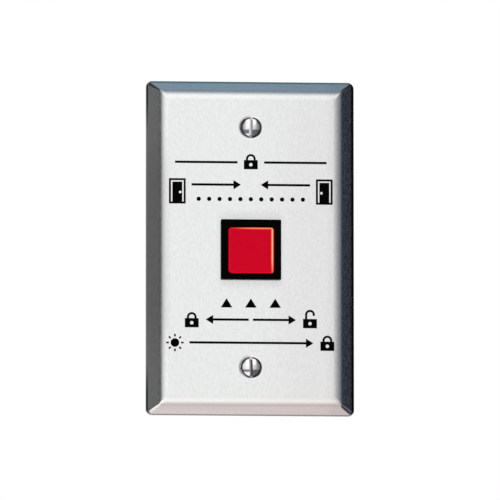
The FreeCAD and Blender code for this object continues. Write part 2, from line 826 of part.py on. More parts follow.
def make_terminals(name, side, foot_front, foot_rear):
    """Two L-shaped blades, each with a foot under its contact tip and a hole for the wire."""
    piece = Piece(name)
    foot_inner = tip_z - s.tip_diameter / 2 - s.tip_margin
    foot_outer = blade_z + s.strip_thickness / 2
    foot = rectangle(s.blade_width, foot_outer - foot_inner)
    blade = rectangle(s.blade_width, s.strip_thickness)
    for up in (1, -1):
        piece.add(foot_front, foot_rear, foot, x=leg_x * side, z=(foot_inner + foot_outer) / 2 * up)
        piece.add(foot_rear, blade_end, blade, x=leg_x * side, z=blade_z * up)
    piece.drill(blade_end + s.blade_hole_margin, s.blade_hole, x=leg_x * side)
    return piece


def make_terminal_base():
    """The plug that closes the housing, with the lamp post, contact towers and barrier ribs."""
    piece = Piece("terminal_base")
    piece.add(housing_rear, base_rear, rectangle(housing_width, housing_width, s.inner_corner_radius))
    piece.add(floor_front, housing_rear, rectangle(plug_width, plug_width, s.inner_corner_radius))
    piece.add(post_top, floor_front, circle(post_diameter))
    # Pedestals carry the feet of the open pair, and towers back up the blades of the closed pair.
    plug_edge = plug_width / 2
    blade_back = blade_z + s.strip_thickness / 2 + s.tower_gap
    tower = rectangle(s.bar_width, plug_edge - blade_back)
    foot_inner = tip_z - s.tip_diameter / 2 - s.tip_margin
    pedestal = rectangle(s.bar_width, plug_edge - foot_inner)
    slot = rectangle(s.blade_width + s.slot_gap * 2, s.strip_thickness + s.slot_gap * 2)
    barb = rectangle(s.base_barb_width, s.base_barb_reach * 2)
    barb_top = floor_front - s.base_barb_inset
    for up in (1, -1):
        piece.add(open_foot_rear, floor_front, pedestal, x=-leg_x, z=(plug_edge + foot_inner) / 2 * up)
        piece.add(closed_foot_front, floor_front, tower, x=leg_x, z=(plug_edge + blade_back) / 2 * up)
        piece.add(barb_top, barb_top - s.base_barb_height, barb, z=plug_edge * up)
        for side, top in ((-1, open_foot_rear), (1, floor_front)):
            piece.cut(top, base_rear, slot, x=leg_x * side, z=blade_z * up)
    piece.cut(post_top, ring_rear, circle(socket_bore))
    piece.cut(ring_rear, socket_floor, circle(socket_well))
    lamp_slot = rectangle(s.lamp_blade_width + s.slot_gap * 2, s.strip_thickness + s.slot_gap * 2)
    piece.cut(socket_floor, base_rear, lamp_slot, z=centre_blade_z)
    piece.cut(ring_rear, base_rear, lamp_slot, z=shell_blade_z)
    rib = rectangle(s.rib_thickness, plug_width)
    for side in (1, -1):
        piece.add(base_rear, base_rear - s.rib_height, rib, x=leg_x / 2 * side)
    return piece


def make_lamp_envelope():
    """A glass tube with a domed top, open at the neck, where the bead closes it."""
    piece = Piece("lamp_envelope")
    outer = s.bulb_diameter / 2
    inner = outer - s.bulb_wall
    neck = bulb_neck_diameter / 2
    neck_inner = neck - s.bulb_wall
    shoulder = bulb_shoulder - bulb_neck_rear
    top = lamp_top - bulb_neck_rear
    profile = [
        (neck, 0),
        (neck, shoulder),
        (outer, shoulder),
        (outer, top - outer, "dome"),
        (0, top),
        (0, top - s.bulb_wall, "dome"),
        (inner, top - outer),
        (inner, shoulder + s.bulb_wall),
        (neck_inner, shoulder + s.bulb_wall),
        (neck_inner, 0),
    ]
    piece.turn(bulb_neck_rear, profile)
    return piece


def make_lamp_base_shell():
    """A brass shell that grips the neck of the glass, with a flange at its rear."""
    piece = Piece("lamp_base_shell")
    outer = s.bulb_diameter / 2
    inner = outer - s.shell_wall
    profile = [
        (inner, 0),
        (s.lamp_flange_diameter / 2, 0),
        (s.lamp_flange_diameter / 2, s.lamp_flange_thickness),
        (outer, s.lamp_flange_thickness),
        (outer, s.shell_height),
        (inner, s.shell_height),
    ]
    piece.turn(shell_rear, profile)
    return piece


def make_lamp_insulator():
    """The filling of the shell, up to the neck of the glass, and the bead inside the neck."""
    piece = Piece("lamp_insulator")
    inner = s.bulb_diameter / 2 - s.shell_wall
    bead = bulb_neck_diameter / 2 - s.bulb_wall
    fill = bulb_neck_rear - shell_rear
    profile = [
        (0, 0),
        (inner, 0),
        (inner, fill),
        (bead, fill),
        (bead, fill + s.bead_height),
        (0, fill + s.bead_height),
    ]
    piece.turn(shell_rear, profile)
    return piece


def make_lamp_tip():
    """The centre contact of the lamp, a button of solder."""
    piece = Piece("lamp_tip")
    piece.add(shell_rear, lamp_rear, circle(s.lamp_tip_diameter))
    return piece


def make_lamp_support_wires():
    """Two wires that stand on the bead and hold the filament."""
    piece = Piece("lamp_support_wires")
    for side in (1, -1):
        wire = circle(s.support_wire_diameter)
        piece.add(wire_top, bead_front, wire, x=s.support_wire_spacing / 2 * side)
    return piece


def make_lamp_filament():
    """An arch of fine wire between the two support wires."""
    ring = document.addObject("Part::Torus", "lamp_filament")
    ring.Label = "lamp_filament"
    bind(ring, "Radius1", s.support_wire_spacing / 2)
    bind(ring, "Radius2", s.filament_diameter / 2)
    ring.Angle3 = 180
    ring.Placement = FreeCAD.Placement(
        FreeCAD.Vector(0, 0, 0), FreeCAD.Rotation(FreeCAD.Vector(1, 0, 0), 180)
    )
    bind(ring, "Placement.Base.y", -wire_top)
    return ring


def make_lamp_centre_terminal():
    """A disc under the tip of the lamp, on a blade through the base."""
    piece = Piece("lamp_centre_terminal")
    piece.add(lamp_rear, socket_floor, circle(s.centre_contact_diameter))
    blade = rectangle(s.lamp_blade_width, s.strip_thickness)
    piece.add(socket_floor, blade_end, blade, z=centre_blade_z)
    piece.drill(blade_end + s.blade_hole_margin, s.blade_hole)
    return piece


def make_lamp_shell_terminal():
    """A ring under the flange of the lamp, on a blade through the base."""
    piece = Piece("lamp_shell_terminal")
    ring = circle(socket_bore - s.slot_gap * 2)
    piece.add(shell_rear, ring_rear, ring, circle(s.centre_contact_diameter))
    blade = rectangle(s.lamp_blade_width, s.strip_thickness)
    piece.add(ring_rear, blade_end, blade, z=shell_blade_z)
    piece.drill(blade_end + s.blade_hole_margin, s.blade_hole)
    return piece


def make_all():
    """Every sub-part of the button, as document objects."""
    plate = [make_faceplate().body, make_mounting_screws().body]
    pieces = [
        make_switch_housing(),
        make_panel_clips(),
        make_terminal_base(),
        make_button_lens(),
        make_lens_diffuser(),
        make_button_carrier(),
        make_bar("normally_open_bridge", -1, open_bar_front),
        make_bar("normally_closed_bridge", 1, closed_bar_front),
        make_moving_contact_tips(),
        make_fixed_contact_tips(),
        make_terminals("normally_open_terminals", -1, open_foot_front, open_foot_rear),
        make_terminals("normally_closed_terminals", 1, closed_foot_front, closed_foot_rear),
        make_lamp_envelope(),
        make_lamp_base_shell(),
        make_lamp_insulator(),
        make_lamp_tip(),
        make_lamp_support_wires(),
        make_lamp_centre_terminal(),
        make_lamp_shell_terminal(),
    ]
    switch = [piece.body for piece in pieces]
    switch += [make_return_spring(), make_contact_springs(), make_lamp_filament()]
    # The switch is drawn around the origin and snapped in a little below it.
    for part in switch:
        bind(part, "Placement.Base.z", -s.switch_drop)
    return plate + switch


def check(parts):
    """Stop if any object failed, any cut removed nothing, or any shape is not sound."""
    for thing in document.Objects:
        if {"Invalid", "Error"} & set(thing.State):
            raise RuntimeError(f"{thing.Name} failed: {thing.State}")
        if thing.TypeId in ("PartDesign::Pocket", "PartDesign::Groove"):
            if thing.Shape.Volume > thing.BaseFeature.Shape.Volume - 1e-6:
                raise RuntimeError(f"{thing.Name} cuts nothing")
    for part in parts:
        if part.Shape.isNull() or not part.Shape.isValid():
            raise RuntimeError(f"{part.Label} has no sound shape")


def main():
    parts = make_all()
    document.recompute()
    check(parts)
    os.makedirs("parts", exist_ok=True)
    for part in parts:
        part.Shape.exportStep(f"parts/{part.Label}.step")
        box = part.Shape.BoundBox
        print(
            f"{part.Label}: {len(part.Shape.Solids)} solids, {part.Shape.Volume:.2f} mm3,"
            f" front {-box.YMax:.2f} to {-box.YMin:.2f}"
        )


main()
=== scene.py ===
import json
import math

import bmesh
import bpy
from mathutils import Matrix, Quaternion, Vector


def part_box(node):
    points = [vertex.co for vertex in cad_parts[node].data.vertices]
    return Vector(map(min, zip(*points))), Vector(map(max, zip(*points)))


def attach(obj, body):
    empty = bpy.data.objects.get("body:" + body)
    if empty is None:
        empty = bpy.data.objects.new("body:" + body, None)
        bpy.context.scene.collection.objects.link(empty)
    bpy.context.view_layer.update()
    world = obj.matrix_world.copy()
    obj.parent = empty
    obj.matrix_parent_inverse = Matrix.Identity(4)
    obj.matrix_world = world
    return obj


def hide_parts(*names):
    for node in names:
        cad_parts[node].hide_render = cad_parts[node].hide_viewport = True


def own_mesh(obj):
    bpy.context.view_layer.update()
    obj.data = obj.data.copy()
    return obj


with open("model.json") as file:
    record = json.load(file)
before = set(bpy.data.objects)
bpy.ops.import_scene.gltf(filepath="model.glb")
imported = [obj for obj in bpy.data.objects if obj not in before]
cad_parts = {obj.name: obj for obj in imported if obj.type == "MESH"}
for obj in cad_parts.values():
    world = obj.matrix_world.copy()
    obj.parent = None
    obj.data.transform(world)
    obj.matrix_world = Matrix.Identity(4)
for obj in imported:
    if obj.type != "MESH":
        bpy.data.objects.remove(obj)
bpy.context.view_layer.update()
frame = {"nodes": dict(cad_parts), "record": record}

# Lengths are in millimetres until place() turns them into metres. "Front" is the height over
# the wall, so it is -Y, as in the CAD source.

MM = 0.001
nodes = frame["nodes"]


def sides(node):
    """The width, front, rear, height and middle of a CAD node, in millimetres."""
    low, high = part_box(node)
    return {
        "width": (high.x - low.x) / MM,
        "height": (high.z - low.z) / MM,
        "front": -low.y / MM,
        "rear": -high.y / MM,
        "z": (high.z + low.z) / 2 / MM,
    }


plate = sides("faceplate")
lens = sides("button_lens")
screws = sides("mounting_screws")
spring = sides("return_spring")
small_springs = sides("contact_springs")

# Wall plate

SHEET = 1.0
LIP = 1.2
SIDE_BEVEL = 5.8
END_BEVEL = 4.5
RIM_RADIUS = 1.9
CREASE_RADIUS = 6.0
# The corners are rounded most at the rim. Further in, the extra rounding fades.
FACE_CORNER = 0.9
RIM_CORNER_EXTRA = 1.3
CORNER_FADE = 0.8
BACK_CORNER_CUT = 0.8
SMALLEST_CORNER = 0.12
CUTOUT = 18.9
CUTOUT_CORNER = 0.8

# Screws, and the dimples of the plate that they sit in

SCREW_RADIUS = 1.75
NECK_RADIUS = 1.35
SCREW_POINT = 0.6
THREAD_PITCH = 0.794
THREAD_DEPTH = 0.46
# The flat crest and the flat root of the thread, as a share of half its pitch
THREAD_FLAT = 0.12
THREAD_BELOW_FACE = 3.5
HEAD_RADIUS = 3.55
HEAD_SLOPE = 0.87
HEAD_RECESS = 0.1
HEAD_RIM_ROUND = 0.4
HEAD_RIM_DROP = 0.08
HEAD_RIM_TURN = 72
SCREW_Z = screws["height"] / 2 - HEAD_RADIUS
SLOT_WIDTH = 1.12
SLOT_FLOOR = 3.9
SLOT_CUTTER_TOP = 8.0
SLOT_CUTTER_REACH = 5.0
SLOT_CUTTER_CORNER = 0.02
# How far the slot of the upper and of the lower screw leans, in degrees
SLOT_TILTS = (3.5, -1.5)
SCREW_HOLE_GAP = 0.2
COUNTERSINK_GAP = 0.1
DIMPLE_ROUND = 1.6
DIMPLE_LAND = 0.7

# Button and springs

BEZEL = 20.8
BEZEL_RISE = 0.5
LENS_CORNER = 1.2
LENS_CORNER_TAPER = 0.9
LENS_EDGE_ROUND = 0.9
LENS_WALL = 1.1
LENS_FACE = 1.3
LENS_FACE_CORNER = 0.35
LENS_FLAT_EDGE = 0.06
LENS_CAVITY_CORNER = 0.6
RETURN_WIRE = 0.6
RETURN_TURNS = 5
CONTACT_WIRE = 0.3
# The length and the turns of the left and of the right contact spring
LEFT_SPRING = (2.0, 4)
RIGHT_SPRING = (1.5, 3)

switch_z = lens["z"]
bezel_z = switch_z + BEZEL_RISE


def place(x, front, z):
    return Vector((x * MM, -front * MM, z * MM))


# Camera

# The distance is in metres, the angles are in degrees, and the aim is (x, z) on the wall.
PHOTO_MM_ACROSS = 172.45
CAMERA_DISTANCE = 4.0
CAMERA_AZIMUTH = -4.2
CAMERA_ELEVATION = -6.9
CAMERA_ROLL = -0.02
CAMERA_AIM = (0.07, -0.42)


def direction(azimuth, elevation):
    """The unit vector from the object towards a compass place; azimuth 0 is straight in front."""
    a, e = math.radians(azimuth), math.radians(elevation)
    return Vector((math.sin(a) * math.cos(e), -math.cos(a) * math.cos(e), math.sin(e)))


def add_camera():
    """A long lens that looks from a little to the left and from a little below."""
    data = bpy.data.cameras.new("camera")
    camera = bpy.data.objects.new("camera", data)
    bpy.context.scene.collection.objects.link(camera)
    back = direction(CAMERA_AZIMUTH, CAMERA_ELEVATION)
    camera.location = place(CAMERA_AIM[0], 0, CAMERA_AIM[1]) + back * CAMERA_DISTANCE
    camera.rotation_mode = "QUATERNION"
    upright = (-back).to_track_quat("-Z", "Y")
    camera.rotation_quaternion = upright @ Quaternion((0, 0, 1), math.radians(CAMERA_ROLL))
    data.sensor_width = 36
    data.lens = data.sensor_width * CAMERA_DISTANCE / (PHOTO_MM_ACROSS * MM)
    data.clip_start, data.clip_end = 0.01, 20
    bpy.context.scene.camera = camera


# Node trees


class Tree:
    """A node tree with short calls for the nodes used here."""

    def __init__(self, tree):
        self.tree = tree
        tree.nodes.clear()

    def node(self, kind, **settings):
        made = self.tree.nodes.new(kind)
        for key, value in settings.items():
            setattr(made, key, value)
        return made

    def feed(self, socket, value):
        """Link an output to a socket, or set the socket's own value."""
        if isinstance(value, bpy.types.NodeSocket):
            self.tree.links.new(value, socket)
        else:
            socket.default_value = value

    def math(self, operation, a, b=0.0):
        made = self.node("ShaderNodeMath", operation=operation)
        self.feed(made.inputs[0], a)
        self.feed(made.inputs[1], b)
        return made.outputs[0]

    def both(self, a, b):
        return self.math("MULTIPLY", a, b)

    def smooth(self, value, low, high, to_low=0.0, to_high=1.0):
        """A soft step from one level, where the value is low, to another, where it is high."""
        made = self.node("ShaderNodeMapRange", interpolation_type="SMOOTHSTEP")
        for index, item in enumerate((value, low, high, to_low, to_high)):
            self.feed(made.inputs[index], item)
        return made.outputs[0]

    def past(self, value, low, high, to_low=0.0):
        """The soft step of a length; low and high are in millimetres."""
        return self.smooth(value, low * MM, high * MM, to_low)

    def mix(self, factor, a, b, blend="MIX"):
        made = self.node("ShaderNodeMix", data_type="RGBA", blend_type=blend)
        self.feed(made.inputs[0], factor)
        self.feed(made.inputs[6], a)
        self.feed(made.inputs[7], b)
        return made.outputs[2]

    def ramp(self, value, low, high, stops):
        """Colours by value; each stop is (value, colour)."""
        made = self.node("ShaderNodeValToRGB")
        made.color_ramp.interpolation = "LINEAR"
        points = made.color_ramp.elements
        while len(points) < len(stops):
            points.new(1.0)
        for point, (at, colour) in zip(points, stops):
            point.position = (at - low) / (high - low)
            point.color = colour
        above_low = self.math("SUBTRACT", value, low)
        self.feed(made.inputs[0], self.math("DIVIDE", above_low, high - low))
        return made.outputs[0]


def grey(value):
    return (value, value, value, 1)


# Light

# The studio that shows in the reflections: how bright it is by compass angle at eye level, its
# colour by height, and the soft cards and flags on top of these.

BRIGHTEST = 1.38
AROUND = [
    (-180, 0.42),
    (-135, 0.34),
    (-112, 0.11),
    (-66, 0.135),
    (-60, 0.115),
    (-55, 0.04),
    (-49, 0.07),
    (-42, 0.30),
    (-35, 0.58),
    (-28, 0.75),
    (-15, 0.93),
    (4, 0.97),
    (8, 0.79),
    (15, 0.68),
    (22, 0.58),
    (36, 0.38),
    (43, 0.30),
    (52, 0.24),
    (58, 0.17),
    (63, 0.08),
    (68, 0.008),
    (118, 0.0),
    (140, 0.30),
    (180, 0.42),
]
UPWARDS = [
    (-90, (0.60, 0.535, 0.53, 1)),
    (-62, (0.62, 0.55, 0.54, 1)),
    (-47, (0.81, 0.74, 0.71, 1)),
    (-34, (1.0, 0.965, 0.93, 1)),
    (-12, (0.83, 0.81, 0.795, 1)),
    (7, (0.785, 0.79, 0.79, 1)),
    (12, (0.87, 0.885, 0.885, 1)),
    (31, (0.88, 0.895, 0.895, 1)),
    (39, (0.77, 0.80, 0.80, 1)),
    (53, (0.43, 0.45, 0.49, 1)),
    (61, (0.24, 0.27, 0.32, 1)),
    (68, (0.17, 0.225, 0.28, 1)),
    (90, (0.155, 0.23, 0.29, 1)),
]
# Each card is azimuth, elevation, half width, half height, and brightness.
CARDS = [
    (-43, 44, 32, 32, 0.008),
    (54, 42, 32, 30, 0.006),
    (-50, -16, 12, 12, 0.03),
    (-31, -42, 25, 26, 0.84),
    (57, -16, 12, 12, 0.13),
    (36, -45, 25, 25, 0.012),
    (17, 29, 11, 17, 0.85),
]
# The tint of the studio's right side, how bright its low part behind the object is, and how
# bright the dome is that dull surfaces see.
BLUE_SIDE = (0.72, 0.96, 1.5, 1)
FLOOR_LEVEL = 0.34
DOME_LEVEL = 0.85

# The key light is given in metres, degrees and watts.
KEY_SIZE = (0.9, 0.6)
KEY_POWER = 4.0
KEY_AZIMUTH = -20
KEY_ELEVATION = 48
KEY_DISTANCE = 1.3


def add_world():
    """White to the camera, an even dome to dull surfaces, and a studio in the reflections."""
    world = bpy.data.worlds.new("studio")
    bpy.context.scene.world = world
    world.use_nodes = True
    t = Tree(world.node_tree)
    way = t.node("ShaderNodeTexCoord").outputs["Generated"]
    split = t.node("ShaderNodeSeparateXYZ")
    t.feed(split.inputs[0], way)
    x, y, z = split.outputs
    backwards = t.math("MULTIPLY", y, -1.0)
    azimuth = t.math("MULTIPLY", t.math("ARCTAN2", x, backwards), 180 / math.pi)
    elevation = t.math("MULTIPLY", t.math("ARCSINE", z), 180 / math.pi)
    around = t.ramp(azimuth, -180, 180, [(at, grey(value)) for at, value in AROUND])
    upwards = t.ramp(elevation, -90, 90, UPWARDS)
    # Towards the top and the bottom the compass angle no longer counts.
    slant = t.math("ABSOLUTE", elevation)
    steep = t.both(t.smooth(slant, 60, 76), t.smooth(y, 0.35, 0.12))
    around = t.mix(steep, around, grey(1.0))
    studio = t.mix(1.0, upwards, around, "MULTIPLY")
    for at, height, half_width, half_height, level in CARDS:
        aside = t.math("ABSOLUTE", t.math("SUBTRACT", azimuth, at))
        above = t.math("ABSOLUTE", t.math("SUBTRACT", elevation, height))
        inside = t.smooth(aside, half_width, half_width * 0.5)
        inside = t.both(inside, t.smooth(above, half_height, half_height * 0.4))
        studio = t.mix(inside, studio, grey(level))
    to_right = t.both(t.smooth(azimuth, 44, 60), t.smooth(azimuth, 116, 90))
    to_right = t.both(to_right, t.smooth(slant, 60, 40))
    studio = t.mix(1.0, studio, t.mix(to_right, grey(1.0), BLUE_SIDE), "MULTIPLY")
    studio = t.mix(1.0, studio, grey(BRIGHTEST), "MULTIPLY")
    # Straight behind the object it is white, and behind and below it there is the floor.
    studio = t.mix(t.smooth(y, 0.93, 0.985), studio, grey(1.0))
    from_floor = t.both(t.smooth(y, 0.02, 0.25), t.smooth(z, -0.25, -0.5))
    studio = t.mix(from_floor, studio, grey(FLOOR_LEVEL))
    path = t.node("ShaderNodeLightPath")
    through = t.math("MAXIMUM", path.outputs["Is Glossy Ray"], path.outputs["Is Transmission Ray"])
    seen = t.mix(through, grey(DOME_LEVEL), studio)
    seen = t.mix(path.outputs["Is Camera Ray"], seen, grey(1.0))
    background = t.node("ShaderNodeBackground")
    t.feed(background.inputs["Color"], seen)
    out = t.node("ShaderNodeOutputWorld")
    t.feed(out.inputs["Surface"], background.outputs[0])


def add_key_light():
    """A broad soft light from above and a little to the left, without a reflection of its own."""
    data = bpy.data.lights.new("key_light", "AREA")
    data.shape = "RECTANGLE"
    data.size, data.size_y = KEY_SIZE
    data.energy = KEY_POWER
    light = bpy.data.objects.new("key_light", data)
    bpy.context.scene.collection.objects.link(light)
    way = direction(KEY_AZIMUTH, KEY_ELEVATION)
    light.location = way * KEY_DISTANCE
    light.rotation_mode = "QUATERNION"
    light.rotation_quaternion = (-way).to_track_quat("-Z", "Y")
    light.visible_glossy = False


# Materials

ROUGHNESS_SPREAD = 0.2


def finish(name, colour, roughness, metallic=0.0, grain=(900,) * 3, vary=0.08, **more):
    """A material whose colour, gloss and surface vary with a grain, given in cycles per metre.

    The colour is three numbers, or a function of the tree and the object coordinates. More
    settings are specular, anisotropic, bump (its height in metres), and glow, a function too, for
    painted glow.
    """
    material = bpy.data.materials.new(name)
    material.use_nodes = True
    t = Tree(material.node_tree)
    shader = t.node("ShaderNodeBsdfPrincipled")
    out = t.node("ShaderNodeOutputMaterial")
    t.feed(out.inputs["Surface"], shader.outputs[0])
    where = t.node("ShaderNodeTexCoord").outputs["Object"]
    stretch = t.node("ShaderNodeMapping")
    t.feed(stretch.inputs["Vector"], where)
    stretch.inputs["Scale"].default_value = grain
    noise = t.node("ShaderNodeTexNoise")
    t.feed(noise.inputs["Vector"], stretch.outputs[0])
    noise.inputs["Scale"].default_value = 1.0
    noise.inputs["Detail"].default_value = 3.0
    level = noise.outputs[0]
    base = colour(t, where) if callable(colour) else (*colour, 1)
    shade = t.smooth(level, 0.25, 0.75, 1 - vary, 1.0)
    tone = t.node("ShaderNodeCombineColor")
    for socket in tone.inputs[:3]:
        t.feed(socket, shade)
    t.feed(shader.inputs["Base Color"], t.mix(1.0, base, tone.outputs[0], "MULTIPLY"))
    smoothest = roughness * (1 - ROUGHNESS_SPREAD)
    roughest = roughness * (1 + ROUGHNESS_SPREAD)
    t.feed(shader.inputs["Roughness"], t.smooth(level, 0.25, 0.75, smoothest, roughest))
    shader.inputs["Metallic"].default_value = metallic
    shader.inputs["Specular IOR Level"].default_value = more.get("specular", 0.5)
    if "glow" in more:
        t.feed(shader.inputs["Emission Color"], more["glow"](t, where))
        shader.inputs["Emission Strength"].default_value = 1.0
    if "anisotropic" in more:
        shader.inputs["Anisotropic"].default_value = more["anisotropic"]
        across = t.node("ShaderNodeTangent", direction_type="RADIAL", axis="Z")
        t.feed(shader.inputs["Tangent"], across.outputs[0])
    if "bump" in more:
        bump = t.node("ShaderNodeBump")
        bump.inputs["Strength"].default_value = 1.0
        bump.inputs["Distance"].default_value = more["bump"]
        t.feed(bump.inputs["Height"], level)
        t.feed(shader.inputs["Normal"], bump.outputs[0])
    return material


def split_place(t, where):
    split = t.node("ShaderNodeSeparateXYZ")
    t.feed(split.inputs[0], where)
    return split.outputs


def screw_distance(t, x, z):
    """How far a point is from the axis of the nearer screw."""
    along = t.math("SUBTRACT", t.math("ABSOLUTE", z), SCREW_Z * MM)
    squares = [t.math("MULTIPLY", reach, reach) for reach in (x, along)]
    return t.math("SQRT", t.math("ADD", *squares))


# The plate's steel, by place, with painted shade and a painted reflection
LEFT_STEEL = (0.87, 0.875, 0.875, 1)
RIGHT_SHADED_STEEL = (0.825, 0.82, 0.825, 1)
RIGHT_CREASE_SHADE = (0.75, 0.75, 0.75, 1)
LEFT_CREASE_SHADE = (0.765, 0.755, 0.765, 1)
TOP_RIM_REFLECTION = (0.36, 0.53, 0.60, 1)
LEFT_RIM_END_SHADE = (0.06, 0.11, 0.15, 1)
RIGHT_RIM_SHADE = (0.06, 0.07, 0.11, 1)
BESIDE_BUTTON_SHADE = (0.745, 0.74, 0.75, 1)


def plate_colour(t, where):
    """Steel with painted shade towards its right side, in its creases, in its rim and beside the
    button, and a painted reflection on its top rim.
    """
    x, y, z = split_place(t, where)
    far_x = t.math("ABSOLUTE", x)
    far_z = t.math("ABSOLUTE", z)
    top = plate["height"] / 2
    side = plate["width"] / 2
    # Painted shade: the face darkens towards the right side.
    colour = t.mix(t.past(x, -5, 24), LEFT_STEEL, RIGHT_SHADED_STEEL)
    # Painted shade in the right crease.
    colour = t.mix(t.past(x, 25.2, 29.5), colour, RIGHT_CREASE_SHADE)
    # Painted shade in the left crease, away from its ends.
    shaded_left_crease = t.both(t.past(x, -27.2, -29.5), t.past(far_z, 44, 20))
    colour = t.mix(shaded_left_crease, colour, LEFT_CREASE_SHADE)
    on_rim = t.past(y, -0.5, -1.0)
    # A painted dark teal reflection along the top rim.
    upper = t.both(on_rim, t.past(z, top - 1.1, top - 0.5))
    colour = t.mix(upper, colour, TOP_RIM_REFLECTION)
    # Painted shade at the ends of the left rim and along the right rim.
    ends = t.both(t.past(x, 0.9 - side, 0.5 - side), t.past(far_z, 38, 52))
    colour = t.mix(t.both(on_rim, ends), colour, LEFT_RIM_END_SHADE)
    right = t.both(on_rim, t.past(x, side - 1.3, side - 0.8))
    colour = t.mix(right, colour, RIGHT_RIM_SHADE)
    # Painted shade on the face just above and below the button.
    off_middle = t.math("ABSOLUTE", t.math("SUBTRACT", z, bezel_z * MM))
    off_button = t.math("SUBTRACT", off_middle, BEZEL / 2 * MM)
    beside_button = t.both(t.past(far_x, 12.5, 8.5), t.past(off_button, 4.2, 0))
    return t.mix(beside_button, colour, BESIDE_BUTTON_SHADE)


# The screws' steel, by place, with painted light and shade. The painted floors of the slots are
# given for the upper and lower screw.
BRIGHT_HEAD = (0.95, 0.95, 0.95, 1)
HEAD_RIGHT_SHADE = (0.45, 0.45, 0.45, 1)
HEAD_LEFT_SHADE = (0.27, 0.28, 0.32, 1)
HEAD_SHADE_BAND = (0.16, 0.17, 0.20, 1)
HEAD_SHADE_LINE = (0.045, 0.04, 0.05, 1)
LIT_SLOT_FLOORS = [(0.68, 0.66, 0.68, 1), (0.33, 0.26, 0.25, 1)]
SHADED_SLOT_FLOORS = [(0.28, 0.26, 0.28, 1), (0.06, 0.045, 0.045, 1)]


def screw_colour(t, where):
    """Bright, with a painted shade band under the middle of each head, painted shade towards its
    sides, a painted shade line around it, and painted slot floors.
    """
    # Painted shade: a dark band where the heads face a little downwards, cut by a painted highlight
    # low on the left.
    facing = t.node("ShaderNodeNewGeometry").outputs["Normal"]
    _, _, up = split_place(t, facing)
    x, y, z = split_place(t, where)
    lower_screw = t.past(z, 1, -1)
    band = t.smooth(up, -0.04, -0.12)
    foot = t.smooth(t.math("SUBTRACT", up, t.math("MULTIPLY", lower_screw, 0.06)), -0.19, -0.25)
    foot = t.both(foot, t.past(x, 0.6, -0.3))
    band = t.both(band, t.math("SUBTRACT", 1.0, foot))
    # Painted shade towards the right and the left of each head, less on the lower screw's left.
    colour = t.mix(t.past(x, 1.3, 2.6), BRIGHT_HEAD, HEAD_RIGHT_SHADE)
    left = t.both(t.past(x, -1.2, -3), t.past(z, -1, 1, 0.3))
    colour = t.mix(left, colour, HEAD_LEFT_SHADE)
    colour = t.mix(band, colour, HEAD_SHADE_BAND)
    # A painted shade line around each head, where it meets the plate, lies a little to the right
    # and a little low.
    radius = screw_distance(t, t.math("SUBTRACT", x, 0.1 * MM), t.math("ADD", z, 0.08 * MM))
    edge = t.past(radius, HEAD_RADIUS - 0.62, HEAD_RADIUS - 0.4)
    edge = t.both(edge, t.past(radius, HEAD_RADIUS + 0.02, HEAD_RADIUS - 0.1))
    colour = t.mix(edge, colour, HEAD_SHADE_LINE)
    # The slot floors are painted lit on the left and shaded on the right.
    light_floor = t.mix(lower_screw, *LIT_SLOT_FLOORS)
    dark_floor = t.mix(lower_screw, *SHADED_SLOT_FLOORS)
    floor = t.mix(t.past(x, -0.1, 0.3), light_floor, dark_floor)
    in_slot = t.both(t.past(y, -4.7, -4.5), t.past(y, -3.8, -3.9))
    in_slot = t.both(in_slot, t.past(t.math("ABSOLUTE", x), 0.68, 0.66))
    return t.mix(in_slot, colour, floor)


# Painted light and shade on each rounded edge of the lens: its axis and side, where its own colour
# starts and is full, in millimetres from the edge, that colour and its painted glow, and from where
# to where along the edge it comes up, and from which level.
LENS_EDGE_LIGHT_AND_SHADE = [
    # Left and bottom edges are painted brighter red, the right and top edges carry painted
    # highlights, and the outermost strip on the right is painted shade.
    ("x", -1.0, 0.60, 0.40, (0.82, 0.001, 0.021), (0.05, 0.0, 0.001), None),
    ("z", -1.0, 0.50, 0.38, (0.85, 0.001, 0.024), (0.16, 0.0, 0.003), None),
    ("x", 1.0, 1.32, 1.12, (0.80, 0.05, 0.035), (0.08, 0.0, 0.0), (-7.5, -3.0, 0.3)),
    ("x", 1.0, 1.00, 0.86, (0.86, 0.58, 0.25), (0.16, 0.10, 0.05), (-7.5, -3.0, 0.3)),
    ("z", 1.0, 0.74, 0.52, (0.92, 0.21, 0.085), (0.10, 0.02, 0.01), (-7.2, 1.0, 0.05)),
    ("x", 1.0, 0.60, 0.50, (0.90, 0.01, 0.03), (0.16, 0.0, 0.01), None),
    ("x", 1.0, 0.24, 0.14, (0.15, 0.003, 0.005), (0.0, 0.0, 0.0), None),
]
LENS_RED = (0.63, 0.0008, 0.0185)
LENS_WALL_SHADE = (0.22, 0.0006, 0.006)
NO_LIGHT = (0, 0, 0)


def lens_edges(t, where, face, wall, choose):
    """One colour on the front of the lens, painted highlights and shade in the rounding of its
    edges, and painted shade on its walls.
    """
    x, y, z = split_place(t, where)
    z = t.math("SUBTRACT", z, switch_z * MM)
    half = lens["width"] / 2 * MM
    colour = (*face, 1)
    for axis, side, start, full, own, glow, fade in LENS_EDGE_LIGHT_AND_SHADE:
        across, along = (x, z) if axis == "x" else (z, x)
        inset = t.math("SUBTRACT", half, t.math("MULTIPLY", across, side))
        here = t.past(inset, start, full)
        if fade:
            here = t.both(here, t.past(along, *fade))
        colour = t.mix(here, colour, (*choose(own, glow), 1))
    # Painted shade on the walls of the lens.
    on_wall = t.past(y, 0.85 - lens["front"], 1.15 - lens["front"])
    return t.mix(on_wall, colour, (*wall, 1))


def lens_colour(t, where):
    """Deep red, with painted highlights and painted brighter red in the rounded edges, standing in
    for the light the plastic gathers there, and painted shade on the walls.
    """
    return lens_edges(t, where, LENS_RED, LENS_WALL_SHADE, lambda own, glow: own)


def lens_painted_glow(t, where):
    """Painted glow in the rounded edges, standing in for light that they lead out of the lens."""
    return lens_edges(t, where, NO_LIGHT, NO_LIGHT, lambda own, glow: glow)


